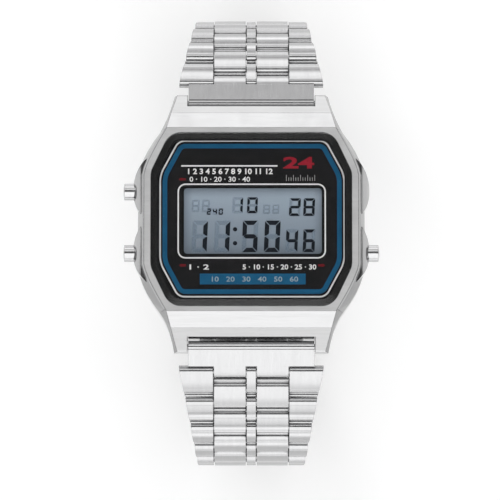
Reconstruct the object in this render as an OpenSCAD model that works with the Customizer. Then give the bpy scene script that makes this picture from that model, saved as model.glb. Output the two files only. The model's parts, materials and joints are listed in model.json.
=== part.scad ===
// Digital wristwatch with a steel case and a folding clasp, lying closed and standing on the clasp.
// The dial faces up, 12 o'clock is toward +Y and 3 o'clock toward +X.

/* [Case] */
// Length of the case over the lugs
case_length = 36.8; // [35.6:0.2:40]
// Width of the case between its button guards
case_width = 32.2; // [31.4:0.2:36]
// Height from the wrist side of the case to the bezel
case_height = 7.9; // [7.6:0.1:9.5]
// Length of the flat bezel
bezel_length = 26.2; // [25.8:0.1:27.2]
// Width of the flat bezel
bezel_width = 30.4; // [29.6:0.1:31]
// Length of the straight part of each side
side_straight = 14; // [12:0.2:16]
// Width of the case where the sloping sides meet the lugs
shoulder_width = 24.8; // [24:0.1:26]
// How far the foot of the case stands out from the shoulders
flank_out = 0.6; // [0.3:0.05:0.8]
// Width of each lug
lug_width = 1.9; // [1.6:0.1:2.4]
// Room between the lugs for the bracelet
lug_gap = 18.1; // [17.6:0.1:19]
// How far the first slope beside the bezel reaches
facet_run = 2.25; // [1.6:0.05:3]
// How far the first slope falls
facet_drop = 1.1; // [0.6:0.1:1.6]
// How far the top of a lug's tip lies under the bezel
lug_drop = 4.4; // [3.8:0.1:5]
// Bevel round the bezel
bezel_bevel = 0.3; // [0.1:0.05:0.5]
// How far a button guard stands out from the side
guard_depth = 0.7; // [0.4:0.1:1]
// Thickness of the case's sides
side_wall = 2.5; // [2.3:0.1:2.8]

/* [Glass and dial] */
// Width of the glass
glass_width = 28.4; // [27:0.1:28.8]
// Length of the glass
glass_length = 24.7; // [23.6:0.1:25]
// Thickness of the glass
glass_thickness = 1.2; // [1:0.05:1.5]
// Bevel round the glass
glass_bevel = 0.25; // [0.1:0.05:0.4]
// Width of the ledge that carries the glass
ledge_width = 0.9; // [0.6:0.05:1.1]
// Thickness of that ledge
ledge_thickness = 0.5; // [0.4:0.05:0.8]
// Width of the window in the dial
window_width = 20.3; // [18:0.1:21]
// Length of the window in the dial
window_length = 10.2; // [9:0.1:10.8]
// How far the window lies under the middle of the dial
window_shift = 0.27; // [0:0.01:0.5]
// Thickness of the dial plate
dial_thickness = 0.4; // [0.3:0.05:0.6]

/* [Module] */
// Diameter of the battery
battery_d = 20; // [16:0.5:20.5]
// Thickness of the battery
battery_h = 1.6; // [1.2:0.1:1.6]
// Thickness of the circuit board
board_thickness = 0.45; // [0.3:0.05:0.6]
// Wall of the module beside the display glass
lcd_side_wall = 0.75; // [0.55:0.05:1.2]
// Length of the display glass
lcd_length = 13; // [12.4:0.1:13.6]
// Thickness of the display glass
lcd_thickness = 1.1; // [0.8:0.05:1.2]
// Diameter of the buzzer disc
buzzer_d = 12; // [9:0.5:13]
// Length of the quartz crystal's can
can_length = 5; // [4:0.5:6]
// Diameter of the quartz crystal's can
can_d = 1.4; // [1.2:0.1:1.6]
// Width of the battery clip
battery_clip_width = 5; // [3:0.5:7]
// Width of a button's contact
contact_width = 2.8; // [2:0.1:3]

/* [Buttons] */
// Diameter of a button's cap
cap_d = 2.4; // [2:0.1:2.8]
// How far a cap stands out of its guard
cap_out = 1.4; // [1.2:0.1:1.8]
// How far a button can be pressed
button_travel = 0.8; // [0.5:0.1:1]
// Distance of a button from the middle of the case
button_y = 4.4; // [3.8:0.1:5]
// Diameter of a button's stem
stem_d = 1.2; // [0.9:0.1:1.4]

/* [Bracelet] */
// Distance from one link to the next
pitch = 5; // [4.6:0.1:5.4]
// Distance from a lug's spring bar to the first link's pin
end_link_length = 3.6; // [3.4:0.1:4.2]
// Slope of the end link
end_link_tilt = 22; // [18:1:26]
// Slope of the first link
first_tilt = 36; // [32:1:40]
// Slope of the last link, which leads into the clasp
last_tilt = 159; // [154:1:164]
// Width of the first link
band_width = 20.3; // [18.6:0.1:21]
// Width of the bracelet past its taper and at the clasp
clasp_width = 15.4; // [14.6:0.1:17]
// Width of the middle column
centre_width = 1.3; // [1:0.1:2]
// Width of each column beside it
inner_width = 4.5; // [4:0.1:4.8]
// Gap between two columns
column_gap = 0.15; // [0.1:0.01:0.25]
// Thickness of a link at its pins
link_thickness = 1.7; // [1.6:0.05:1.8]
// How far a link's top bulges over its pins
crown = 0.15; // [0.05:0.01:0.2]
// Diameter of the bracelet's pins
pin_d = 0.8; // [0.6:0.05:0.9]

/* [Clasp] */
// Thickness of the clasp's cover
cover_thickness = 0.6; // [0.5:0.05:0.7]
// Thickness of the clasp's arms
arm_thickness = 0.55; // [0.4:0.05:0.6]
// Height of the cover's sides
cover_height = 2.5; // [2.2:0.1:2.8]
// Thickness of the cover's sides
cover_wall = 0.65; // [0.5:0.05:0.8]

/* [Fits] */
// Gap round a turning or sliding pin
pin_play = 0.04; // [0.03:0.01:0.06]
// Gap between parts that are put together
fit = 0.02; // [0.01:0.01:0.05]
// Gap between parts that pass each other
running_gap = 0.15; // [0.12:0.01:0.2]

/* [Hidden] */
links = 10;
taper_links = 5;
two_digits = [for (i = [1 : links]) str(i < 10 ? "0" : "", i)];

// Case, measured from the wrist side of the case back
lug_tip_y = case_length / 2;
waist_x = case_width / 2;
bezel_y = bezel_length / 2;
bezel_x = bezel_width / 2;
shoulder_y = bezel_y - 0.2;
bar_inset = 0.9;
bar_y = lug_tip_y - bar_inset;
bar_z = 1.6;
bar_d = 1.3;
bar_tip_d = 0.8;
bar_tip = 1.2;
lug_outer_x = lug_gap / 2 + lug_width;
case_bottom = 0.3;
back_thickness = 0.9;
side_z = case_height / 2;
foot_x = shoulder_width / 2 + flank_out;
foot_bow = [0.45, 2.55];
top_bow = [0.35, 1.4];
lug_bow = 0.6;
lug_top_x = lug_outer_x - 0.4;
lug_side_z = case_bottom + 1.6;
glass_top = case_height + 0.3;
gasket_thickness = 0.2;
glass_bottom = glass_top - glass_thickness;
ledge_top = glass_bottom - gasket_thickness;
ledge_bottom = ledge_top - ledge_thickness;
glass_x = glass_width / 2;
glass_y = glass_length / 2;
glass_cut = [2.7, 5.6];
glass_round = 2.6;
bevel_width = 0.9;
cavity_x = waist_x - side_wall;
cavity_y = glass_y - 0.6;
cavity_cut = [2.4, 4.9];

// Module, from the dial down and from the back up
dial_bottom = ledge_bottom - dial_thickness;
module_x = cavity_x - 1.65;
module_y = cavity_y - 0.3;
lcd_width = 2 * (module_x - lcd_side_wall);
lcd_top = dial_bottom - 0.1;
lcd_bottom = lcd_top - lcd_thickness;
reflector_thickness = 0.15;
module_bottom = back_thickness + 0.35;
clip_plate = 0.15;
battery_bottom = module_bottom + 0.07;
battery_top = battery_bottom + battery_h;
board_bottom = battery_top + 0.12;
board_top = board_bottom + board_thickness;
module_cut = [3.4, 5.4];
window_x = 0.2;
board_inset = 0.75;
contact_x = module_x + 0.1;
contact_thickness = 0.15;
contact_foot = 0.9;
contact_reach = 1.05;
contact_low = 0.7;
contact_high = 0.8;
can_at = [2, 8.2];
can_lead = 0.5;
lamp_width = 0.9;
lamp_length = 1.4;
lamp_height = 0.8;
lamp_x = 0.75 - module_x;
clip_z = module_bottom - clip_plate - 0.01;
battery_step = 0.3;
resin_r = 3;
resin_h = lcd_bottom - board_top - reflector_thickness - 0.1;
resin_dome = 12.2;
buzzer_at = [6.4, -4.6];
buzzer_height = 0.12;
buzzer_spring_at = [10.3, -7.3];
buzzer_spring_d = 1.1;
buzzer_wire = 0.18;
zebra_width = 1;
zebra_inset = 0.8;

// Case back and its gasket
back_x = cavity_x + 0.8;
back_y = cavity_y + 0.7;
screw_d = 1;
screw_head_d = 1.7;
screw_head_h = 0.4;
screw_depth = 2.6;
screw_slot = 0.25;
back_ring_width = 1;
back_ring_depth = 0.09;
seal_width = 0.45;
seal_height = 0.5;
corner_normal = [cavity_cut[1], cavity_cut[0]] / norm(cavity_cut);
screw_out = seal_width + screw_d / 2 + 0.13;
back_out = screw_out + screw_head_d / 2 + 0.15;
screw_x = cavity_x - cavity_cut[0] / 2 + screw_out * corner_normal[0];
screw_y = cavity_y - cavity_cut[1] / 2 + screw_out * corner_normal[1];

// Buttons
button_z = 3.9;
guard_x = waist_x + guard_depth;
cap_end = guard_x + cap_out;
cap_root = cap_end - cap_out - 0.5 - button_travel;
cap_round = 0.25;
cap_dome = 4.6;
well_floor = cap_root - button_travel - 0.45;
well_d = cap_d + running_gap;
clip_thickness = 0.2;
clip_x = cavity_x - clip_thickness - 0.05;
clip_d = 1.8;
groove_r = stem_d / 2 - 0.2;
stem_end = contact_x + contact_thickness + button_travel + 0.1;
seal_wire = 0.36;
seal_r = stem_d / 2 + pin_play + seal_wire;
seal_step = 0.42;
guard_r = 6;
guard_round = 3.6;
buttons = [["light", -1, 1], ["mode", -1, -1], ["start", 1, -1]];
spring_wire = 0.16;
spring_d = 1.9;
spring_turns = 3;

// Bracelet
r_link = link_thickness / 2;
r_pin = pin_d / 2;
notch_y = bar_y - r_link - running_gap;
half_pitch = pitch / 2;
inner_from = centre_width / 2 + column_gap;
inner_to = inner_from + inner_width;
outer_from = inner_to + column_gap;
link_gap = half_pitch - 2 * r_link;
roll_r = (link_gap - 2 * running_gap) / 2 - 0.05;
roll_n = 0.25;
pin_recess = 0.15;
bend = (last_tilt - first_tilt) / (links - 1);
hinge_z = 1.75;

function tilt(k) = first_tilt + (k - 1) * bend;
function sum(list, i = 0) = i < len(list) ? list[i] + sum(list, i + 1) : 0;
function path_y(k) = bar_y + end_link_length * cos(end_link_tilt)
    + sum([for (i = [1 : 1 : k]) pitch * cos(tilt(i))]);
function path_drop(k) = end_link_length * sin(end_link_tilt)
    + sum([for (i = [1 : 1 : k]) pitch * sin(tilt(i))]);
function band_at(k) = clasp_width + (band_width - clasp_width) * pow(1 - min(k, taper_links) / taper_links, 2);

bar_height = hinge_z + path_drop(links);
head_z = bar_height - bar_z;
clasp_y = path_y(links);

// Clasp
clasp_x = clasp_width / 2;
arm_x = clasp_x - cover_wall - running_gap;
knuckle_r = 0.7;
fold_y = clasp_y - 4.45;
fold_z = cover_thickness + running_gap + knuckle_r;
tip_y = 5.5 - clasp_y;
tip_z = fold_z + 0.45;
long_arm_z = fold_z - 0.4;
short_arm_z = fold_z + knuckle_r + running_gap;
arm_side = 2.2;
slot_r = [1.6, 2.2];
slot_length = 10;

steel = [0.78, 0.79, 0.8];
bright = [0.88, 0.89, 0.9];
dark = [0.2, 0.2, 0.21];

// Puts the case and what it holds at its height above the clasp
module head() translate([0, 0, head_z]) children();

// A row of points mirrored into all four quarters
function mirrored(q) = concat(
    q,
    [for (i = [len(q) - 1 : -1 : 0]) [-q[i][0], q[i][1]]],
    [for (p = q) [-p[0], -p[1]]],
    [for (i = [len(q) - 1 : -1 : 0]) [q[i][0], -q[i][1]]]);

module octagon(x, y, cut) polygon(mirrored([[x, y - cut[1]], [x - cut[0], y]]));

module round_octagon(x, y, cut, r)
    offset(r = r, $fn = 40)
        offset(delta = -r)
            octagon(x, y, cut);

module plate(z0, z1) translate([0, 0, z0]) linear_extrude(z1 - z0) children();

// A cylinder along X
module rod(x0, x1, r, y = 0, z = 0)
    translate([x0, y, z])
        rotate([0, 90, 0])
            cylinder(h = x1 - x0, r = r, $fn = 48);

// A profile in the Y-Z plane, extruded along X
module along_x(x0, x1)
    translate([x0, 0, 0])
        rotate([90, 0, 90])
            linear_extrude(x1 - x0)
                children();

// Case

// Points on a curve that leaves a and reaches c, drawn toward b
function curve(a, b, c, n = 5) = [for (i = [0 : n])
    let (t = i / n) pow(1 - t, 2) * a + 2 * t * (1 - t) * b + t * t * c];

// The outline bows out from each straight side to the shoulder
function side_curve(x, shoulder_x, bow) = curve(
    [x, side_straight / 2 - 0.6],
    [x - bow[0], side_straight / 2 + bow[1]],
    [shoulder_x, shoulder_y]);

module case_outline()
    polygon(mirrored(concat(
        side_curve(waist_x, foot_x, foot_bow),
        curve([foot_x, shoulder_y],
            [lug_outer_x + lug_bow, (shoulder_y + lug_tip_y) / 2 - lug_bow],
            [lug_outer_x, lug_tip_y]))));

lug_profile = [
    [lug_tip_y - 0.5, case_bottom],
    [lug_tip_y, case_bottom + 0.6],
    [lug_tip_y, case_height - lug_drop - 0.15],
    [lug_tip_y - 0.15, case_height - lug_drop + 0.1],
    [bezel_y + facet_run, case_height - facet_drop],
    [bezel_y, case_height]];

module case_side_profile()
    polygon(concat(lug_profile,
        [for (i = [len(lug_profile) - 1 : -1 : 0]) [-lug_profile[i][0], lug_profile[i][1]]]));

module bezel_outline(grow)
    polygon(mirrored(side_curve(bezel_x + grow, shoulder_width / 2 - 0.3 + grow, top_bow)));

// A slice across the lugs that narrows from the shoulder to the tip
module lug_slice(shoulder_x, tip_x)
    polygon([[shoulder_x, shoulder_y - 0.01], [tip_x, lug_tip_y],
        [-tip_x, lug_tip_y], [-shoulder_x, shoulder_y - 0.01]]);

// Sides that lean in from the waist to the bezel, and from the foot of the lugs to their tops
module leaning_sides() {
    hull() {
        plate(0, side_z)
            polygon(mirrored(side_curve(waist_x, foot_x, foot_bow)));
        plate(side_z, case_height - bezel_bevel)
            bezel_outline(bezel_bevel - 0.05);
        plate(side_z, case_height)
            bezel_outline(0);
    }
    for (turn = [0, 180])
        rotate([0, 0, turn])
            hull() {
                intersection() {
                    plate(0, side_z) lug_slice(foot_x, lug_outer_x);
                    along_x(-waist_x, waist_x)
                        polygon([[0, 0], [lug_tip_y, 0], [lug_tip_y, lug_side_z],
                            [shoulder_y, side_z], [0, side_z]]);
                }
                intersection() {
                    plate(0, case_height) lug_slice(shoulder_width / 2 - 0.3, lug_top_x);
                    along_x(-waist_x, waist_x) case_side_profile();
                }
            }
}

module button_guard(side, y)
    intersection() {
        translate([side * (guard_x - guard_r), y, case_bottom + 0.6])
            cylinder(h = case_height - 2.2, r = guard_r, $fn = 96);
        translate([side * (guard_x - guard_round), y, button_z])
            rotate([90, 0, 0])
                cylinder(h = 2 * guard_r, r = guard_round, center = true, $fn = 96);
        translate([side * (waist_x - 1), y, button_z])
            cube([5, 2 * guard_r, case_height], center = true);
    }

module case_body() color(steel) head() difference() {
    union() {
        intersection() {
            plate(case_bottom, case_height) case_outline();
            along_x(-waist_x, waist_x) case_side_profile();
            leaning_sides();
        }
        for (side = [-1, 1])
            for (y = [-button_y, button_y])
                button_guard(side, y);
    }
    plate(ledge_top, case_height + 1)
        glass_outline(fit);
    plate(ledge_bottom - 0.01, case_height)
        glass_outline(-ledge_width);
    plate(back_thickness - 0.01, ledge_bottom)
        cavity_outline(0);
    plate(0, back_thickness)
        back_outline(fit);
    plate(back_thickness - 0.01, back_thickness + seal_height)
        cavity_outline(seal_width);
    for (s = [-1, 1])
        translate([0, s * (notch_y + 5), case_height / 2])
            cube([lug_gap, 10, 2 * case_height], center = true);
    for (s = [-1, 1])
        rod(-lug_gap / 2 - bar_tip - 0.1, lug_gap / 2 + bar_tip + 0.1, bar_tip_d / 2 + fit, s * bar_y, bar_z);
    for (x = [-screw_x, screw_x])
        for (y = [-screw_y, screw_y])
            translate([x, y, 0])
                cylinder(h = screw_head_h + screw_depth + 0.2, r = screw_d / 2 + fit, $fn = 32);
    for (b = buttons)
        on_button(b) {
            rod(cavity_x - 0.5, guard_x, stem_d / 2 + pin_play);
            rod(well_floor, guard_x + 1, well_d / 2);
            rod(well_floor - seal_step, well_floor + 0.01, seal_r + fit);
        }
}

module cavity_outline(grow) offset(delta = grow) octagon(cavity_x, cavity_y, cavity_cut);

module back_outline(grow)
    intersection() {
        cavity_outline(back_out + grow);
        square(2 * [back_x + grow, back_y + grow], center = true);
    }

module case_back() color(steel) head() difference() {
    plate(0, back_thickness - 0.01) back_outline(0);
    for (x = [-screw_x, screw_x])
        for (y = [-screw_y, screw_y])
            translate([x, y, -0.01]) {
                cylinder(h = 2 * back_thickness, r = screw_d / 2 + fit, $fn = 32);
                cylinder(h = screw_head_h + 0.07, r = screw_head_d / 2 + fit, $fn = 32);
            }
    // A shallow turned ring on the wrist side
    translate([0, 0, -back_ring_depth])
        difference() {
            cylinder(h = 2 * back_ring_depth, r = battery_d / 2 + back_ring_width / 2, $fn = 96);
            cylinder(h = 4 * back_ring_depth, r = battery_d / 2 - back_ring_width / 2, $fn = 96);
        }
}

module case_back_screws() color(bright) head()
    for (x = [-screw_x, screw_x])
        for (y = [-screw_y, screw_y])
            translate([x, y, 0.05])
                difference() {
                    union() {
                        cylinder(h = screw_head_h, r = screw_head_d / 2, $fn = 32);
                        cylinder(h = screw_head_h + screw_depth, r = screw_d / 2, $fn = 32);
                    }
                    for (turn = [0, 90])
                        rotate([0, 0, turn])
                            cube([screw_slot, screw_head_d * 0.65, screw_head_h], center = true);
                }

module back_gasket() color(dark) head()
    plate(back_thickness, back_thickness + seal_height - 0.01)
        difference() {
            cavity_outline(seal_width - fit);
            cavity_outline(0.03);
        }

// Glass and dial

module glass_outline(grow) offset(delta = grow) round_octagon(glass_x, glass_y, glass_cut, glass_round);

module crystal() color("silver", 0.4) head()
    hull() {
        plate(glass_bottom, glass_top - glass_bevel)
            glass_outline(0);
        plate(glass_top - 0.01, glass_top)
            glass_outline(-bevel_width);
    }

module crystal_gasket() color(dark) head()
    plate(ledge_top, glass_bottom - 0.01)
        difference() {
            glass_outline(-0.05);
            glass_outline(0.1 - ledge_width);
        }

module dial_plate() color(dark) head()
    plate(dial_bottom + 0.01, ledge_bottom - 0.01)
        difference() {
            cavity_outline(-0.1);
            translate([window_x, -window_shift])
                square([window_width, window_length], center = true);
        }

// Module

module lcd_plate(x, y, z0, z1)
    translate([window_x, -window_shift, z0])
        linear_extrude(z1 - z0)
            square([x, y], center = true);

module lcd_glass() color([0.55, 0.6, 0.66]) head() {
    lcd_plate(lcd_width, lcd_length - 0.9, (lcd_top + lcd_bottom) / 2 + 0.01, lcd_top);
    lcd_plate(lcd_width, lcd_length, lcd_bottom, (lcd_top + lcd_bottom) / 2);
}

module lcd_reflector() color("silver") head()
    lcd_plate(lcd_width - 0.6, lcd_length - 3.2, lcd_bottom - reflector_thickness - 0.01, lcd_bottom - 0.01);

module zebra_strips() color([0.45, 0.35, 0.35]) head()
    for (s = [-1, 1])
        translate([window_x, s * (lcd_length / 2 - zebra_inset) - window_shift,
            (board_top + lcd_bottom) / 2])
            cube([lcd_width - 2, zebra_width, lcd_bottom - board_top - 0.02], center = true);

module module_frame() color([0.85, 0.85, 0.82]) head() difference() {
    plate(module_bottom, dial_bottom) octagon(module_x, module_y, module_cut);
    plate(lcd_bottom - 0.02, dial_bottom + 1)
        translate([window_x, -window_shift])
            square([lcd_width + 0.1, lcd_length + 0.1], center = true);
    plate(board_bottom - 0.01, lcd_bottom)
        translate([window_x, -window_shift])
            square([lcd_width - 0.3, lcd_length - 0.3], center = true);
    plate(board_bottom - 0.02, board_top + 0.02)
        octagon(module_x - board_inset + 0.05, module_y - board_inset + 0.05, module_cut);
    translate([0, 0, module_bottom - 1])
        cylinder(h = board_bottom - module_bottom + 1, r = battery_d / 2 + 0.15, $fn = 96);
    // Room for the crystal can, the lamp and the buzzer's spring
    translate([can_at[0] - 0.1, can_at[1] - can_d / 2 - 0.3, board_top])
        cube([can_length + 0.2, can_d + 0.6, can_d + 0.15]);
    translate([lamp_x, 0, dial_bottom])
        cube([lamp_width + 0.3, lamp_length + 0.4, 2 * (dial_bottom - board_top)], center = true);
    translate([buzzer_spring_at[0], buzzer_spring_at[1], 0])
        cylinder(h = board_bottom, r = buzzer_spring_d / 2 + 0.2, $fn = 32);
    for (b = buttons)
        on_button(b) {
            translate([contact_x - 0.12, -contact_width / 2 - 0.3, board_bottom - 0.35 - button_z])
                cube([module_x, contact_width + 0.6, dial_bottom]);
            translate([contact_x - contact_reach - 0.1, -contact_width / 2 - 0.1, board_bottom - button_z])
                cube([contact_reach + 1, contact_foot + 0.2, board_thickness + 0.25]);
        }
}

module circuit_board() color([0.16, 0.36, 0.24]) head() {
    plate(board_bottom, board_top)
        octagon(module_x - board_inset, module_y - board_inset, module_cut);
    // The chip under its resin
    translate([0, 0, board_top])
        intersection() {
            cylinder(h = resin_h, r = resin_r, $fn = 48);
            translate([0, 0, resin_h - resin_dome])
                sphere(r = resin_dome, $fn = 96);
        }
}

module quartz_crystal() color("silver") head()
    translate([0, can_at[1], board_top + can_d / 2 + 0.01]) {
        rod(can_at[0], can_at[0] + can_length - can_lead, can_d / 2);
        rod(can_at[0] + can_length - can_lead, can_at[0] + can_length, can_lead / 2);
    }

module lamp() color([0.95, 0.9, 0.6]) head()
    translate([lamp_x, 0, board_top + 0.01 + lamp_height / 2])
        cube([lamp_width, lamp_length, lamp_height], center = true);

module button_contacts() color([0.85, 0.7, 0.35]) head()
    for (b = buttons)
        on_button(b) {
            translate([contact_x, -contact_width / 2, -contact_low])
                cube([contact_thickness, contact_width, contact_low + contact_high]);
            translate([contact_x - contact_reach, -contact_width / 2, board_top + 0.01 - button_z])
                cube([contact_reach + contact_thickness, contact_foot, contact_thickness]);
        }

module battery() color("silver") head() {
    translate([0, 0, battery_bottom + battery_step])
        cylinder(h = battery_h - battery_step, r = battery_d / 2, $fn = 96);
    translate([0, 0, battery_bottom])
        cylinder(h = battery_step, r = battery_d / 2 - 1, $fn = 96);
}

module battery_clip() color(bright) head()
    plate(clip_z, clip_z + clip_plate)
        difference() {
            square([battery_clip_width, 2 * module_y - 0.6], center = true);
            for (s = [-1, 1])
                translate([0, s * module_y / 2])
                    circle(d = battery_clip_width * 0.56, $fn = 32);
        }

module buzzer_disc() color([0.85, 0.72, 0.35]) head()
    translate([buzzer_at[0], buzzer_at[1], back_thickness])
        difference() {
            cylinder(h = buzzer_height, r = buzzer_d / 2, $fn = 64);
            plate(buzzer_height * 0.65, 1)
                difference() {
                    circle(r = buzzer_d / 2 - 0.8, $fn = 64);
                    circle(r = buzzer_d / 2 - 1.1, $fn = 64);
                }
        }

// A coil along Z from z = 0 to z = height, as one swept tube
module coil(d, wire, height, turns, per_turn = 14, sides = 6) {
    steps = turns * per_turn;
    rise = height - wire;
    ring = [for (i = [0 : steps])
        for (j = [0 : sides - 1])
            let (a = 360 * i / per_turn, b = 360 * j / sides, r = d / 2 - wire / 2 + wire / 2 * cos(b))
                [r * cos(a), r * sin(a), wire / 2 + rise * i / steps + wire / 2 * sin(b)]];
    walls = [for (i = [0 : steps - 1])
        for (j = [0 : sides - 1])
            for (half = [0, 1])
                let (a = i * sides + j, b = i * sides + (j + 1) % sides)
                    half == 0 ? [a, b, b + sides] : [a, b + sides, a + sides]];
    ends = [[for (j = [sides - 1 : -1 : 0]) j], [for (j = [0 : sides - 1]) steps * sides + j]];
    polyhedron(points = ring, faces = concat(walls, ends), convexity = 10);
}

module buzzer_spring() color(bright) head()
    translate([buzzer_spring_at[0], buzzer_spring_at[1], back_thickness + buzzer_height + 0.01])
        coil(buzzer_spring_d, buzzer_wire, board_bottom - back_thickness - buzzer_height - 0.02, 4);

// Buttons

// Puts a child that points along +X at a button's place
module on_button(b)
    translate([0, b[2] * button_y, button_z])
        mirror([b[1] < 0 ? 1 : 0, 0, 0])
            children();

module button(b) color(bright) head() on_button(b) {
    difference() {
        union() {
            rod(cap_root, cap_end - cap_round, cap_d / 2);
            intersection() {
                rod(cap_end - cap_round - 0.01, cap_end, cap_d / 2);
                translate([cap_end - cap_dome, 0, 0])
                    sphere(r = cap_dome, $fn = 96);
            }
            rod(stem_end, cap_root + 0.01, stem_d / 2);
        }
        // Groove for the clip
        difference() {
            rod(clip_x - fit, clip_x + clip_thickness + fit, stem_d);
            rod(clip_x - 1, clip_x + 1, groove_r);
        }
    }
}

module clip(b) color(bright) head() on_button(b)
    difference() {
        rod(clip_x, clip_x + clip_thickness, clip_d / 2);
        rod(clip_x - 1, clip_x + 1, groove_r + fit);
        translate([clip_x - 1, -groove_r + 0.05, -clip_d])
            cube([2, 2 * groove_r - 0.1, clip_d]);
    }

module button_spring(b) color(bright) head() on_button(b)
    translate([well_floor + 0.01, 0, 0])
        rotate([0, 90, 0])
            coil(spring_d, spring_wire, cap_root - well_floor - 0.02, spring_turns);

module button_seals() color(dark) head()
    for (b = buttons)
        on_button(b)
            translate([well_floor - seal_step / 2 - 0.01, 0, 0])
                rotate([0, 90, 0])
                    rotate_extrude($fn = 48)
                        translate([seal_r - seal_wire / 2, 0])
                            circle(d = seal_wire - fit, $fn = 24);

// Bracelet

// Outline of a link's piece between two pins, seen from the side
module link_profile(s0, s1) {
    middle = (s0 + s1) / 2;
    crown_r = (pow(half_pitch / 2, 2) + crown * crown) / (2 * crown);
    translate([s0, -r_link])
        square([s1 - s0, link_thickness]);
    for (s = [s0, s1])
        translate([s, 0])
            circle(r = r_link, $fn = 64);
    intersection() {
        translate([middle, r_link + crown - crown_r])
            circle(r = crown_r, $fn = 180);
        translate([s0, 0])
            square([s1 - s0, link_thickness]);
    }
}

// The rolled lip beside a link's fixed pin, on its web
module rolled_lip(from, to) {
    translate([to, roll_n])
        circle(r = roll_r, $fn = 32);
    translate([min(from, to), roll_n - roll_r])
        square([abs(to - from), roll_r]);
}

module bore(s, r) translate([s, 0]) circle(r = r, $fn = 48);

// Spring bars

module spring_bars() color(bright) head()
    for (s = [-1, 1])
        translate([0, s * bar_y, bar_z]) {
            rod(-lug_gap / 2 + 0.15, lug_gap / 2 - 0.15, bar_d / 2);
            rod(-lug_gap / 2 - bar_tip, lug_gap / 2 + bar_tip, bar_tip_d / 2);
        }

// End link, along +Y from the spring bar at the origin

module end_link() color(bright) {
    body_x = lug_gap / 2 - 0.1;
    shoulder = end_link_length - r_link - running_gap;
    roll_at = r_link - 0.08;
    difference() {
        union() {
            along_x(-body_x, body_x) {
                circle(r = r_link, $fn = 64);
                translate([0, -r_link])
                    square([shoulder, link_thickness]);
                translate([0.1, r_link - 0.1])
                    square([shoulder - 0.1, crown + 0.1]);
                translate(roll_at * [-sin(40), cos(40)])
                    circle(r = 0.18, $fn = 32);
            }
            for (s = [-1, 1])
                along_x(s > 0 ? inner_from : -inner_to, s > 0 ? inner_to : -inner_from)
                    link_profile(shoulder - 0.5, end_link_length);
        }
        rod(-body_x - 1, body_x + 1, bar_d / 2 + pin_play);
        rod(-body_x - 1, body_x + 1, r_pin + pin_play, end_link_length);
    }
}

// One link, along +Y from its hinge pin at the origin: three pieces hold the hinge pin,
// two more lie half a link further, and a fixed pin joins all five

module outer_plan(w0, w1) {
    polygon([[outer_from, -pitch], [w0 / 2 + (w0 - w1) / 2, -pitch], [w1 / 2, pitch], [outer_from, pitch]]);
}

module link(k) color(bright) {
    w0 = band_at(k - 1);
    w1 = band_at(k);
    fixed = r_pin + fit;
    for (s = [0, 1])
        mirror([s, 0, 0])
            intersection() {
                along_x(outer_from, band_width)
                    triple_profile();
                translate([0, 0, -link_thickness])
                    linear_extrude(2 * link_thickness)
                        outer_plan(w0, w1);
            }
    along_x(-centre_width / 2, centre_width / 2)
        triple_profile();
    for (s = [0, 1])
        mirror([s, 0, 0])
            along_x(inner_from, inner_to)
                difference() {
                    union() {
                        link_profile(half_pitch, pitch);
                        rolled_lip(half_pitch, half_pitch / 2);
                    }
                    bore(half_pitch, fixed);
                    bore(pitch, r_pin + pin_play);
                }
    edge = (w0 * 3 + w1) / 8 - pin_recess;
    rod(-w0 / 2 + pin_recess, w0 / 2 - pin_recess, r_pin);
    rod(-edge - (w1 - w0) / 8, edge + (w1 - w0) / 8, r_pin, half_pitch);
}

module triple_profile() difference() {
    union() {
        link_profile(0, half_pitch);
        rolled_lip(half_pitch, half_pitch * 1.5);
    }
    bore(0, r_pin + fit);
    bore(half_pitch, r_pin + fit);
}

// Puts a link or end link in its place on the 12 or the 6 o'clock side
module on_band(side, k)
    mirror([0, side < 0 ? 1 : 0, 0])
        translate([0, k == 0 ? bar_y : path_y(k - 1), bar_height - (k == 0 ? 0 : path_drop(k - 1))])
            rotate([k == 0 ? -end_link_tilt : -tilt(k), 0, 0])
                children();

// Clasp

// Three knuckles on a pin at y, z, joined to a plate that ends at the given y
module knuckles(y, z, x_max, r, plate_y, plate_z, thickness) {
    for (x = [[-x_max, -outer_from], [-centre_width / 2, centre_width / 2], [outer_from, x_max]])
        along_x(x[0], x[1]) {
            translate([y, z])
                circle(r = r, $fn = 64);
            polygon([[y, z - r * 0.9], [plate_y, plate_z], [plate_y, plate_z + thickness], [y, z + r * 0.5]]);
        }
}

module clasp_cover() color(bright) difference() {
    union() {
        translate([-clasp_x, 2.2 - clasp_y, 0])
            cube([clasp_width, fold_y - 0.2 + clasp_y - 2.2, cover_thickness]);
        for (s = [-1, 1])
            along_x(s > 0 ? clasp_x - cover_wall : -clasp_x, s > 0 ? clasp_x : cover_wall - clasp_x)
                polygon([[2.2 - clasp_y, 0], [fold_y + 0.5, 0], [fold_y + 0.95, 0.5],
                    [fold_y + 0.95, cover_height - 0.4], [fold_y + 0.55, cover_height],
                    [4.4 - clasp_y, cover_height], [2.2 - clasp_y, cover_height - 0.9]]);
        knuckles(-clasp_y, hinge_z, clasp_x, r_link, 2.4 - clasp_y, 0, cover_thickness + 0.4);
    }
    rod(-clasp_x - 1, clasp_x + 1, r_pin + fit, -clasp_y, hinge_z);
    rod(-clasp_x - 1, clasp_x + 1, r_pin + fit, fold_y, fold_z);
}

module clasp_spring_bar() color(bright)
    rod(pin_recess - clasp_x, clasp_x - pin_recess, r_pin, -clasp_y, hinge_z);

module clasp_fold_pin() color(bright)
    rod(pin_recess - clasp_x, clasp_x - pin_recess, r_pin, fold_y, fold_z);

module clasp_tip_pin() color(bright)
    rod(pin_recess - arm_x, arm_x - pin_recess, r_pin, tip_y, tip_z);

// A slot with round ends through an arm
module arm_slot(y, r)
    hull()
        for (s = [-1, 1])
            translate([0, y + s * slot_length / 2, 0])
                cylinder(h = bar_height, r = r, $fn = 32);

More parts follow.
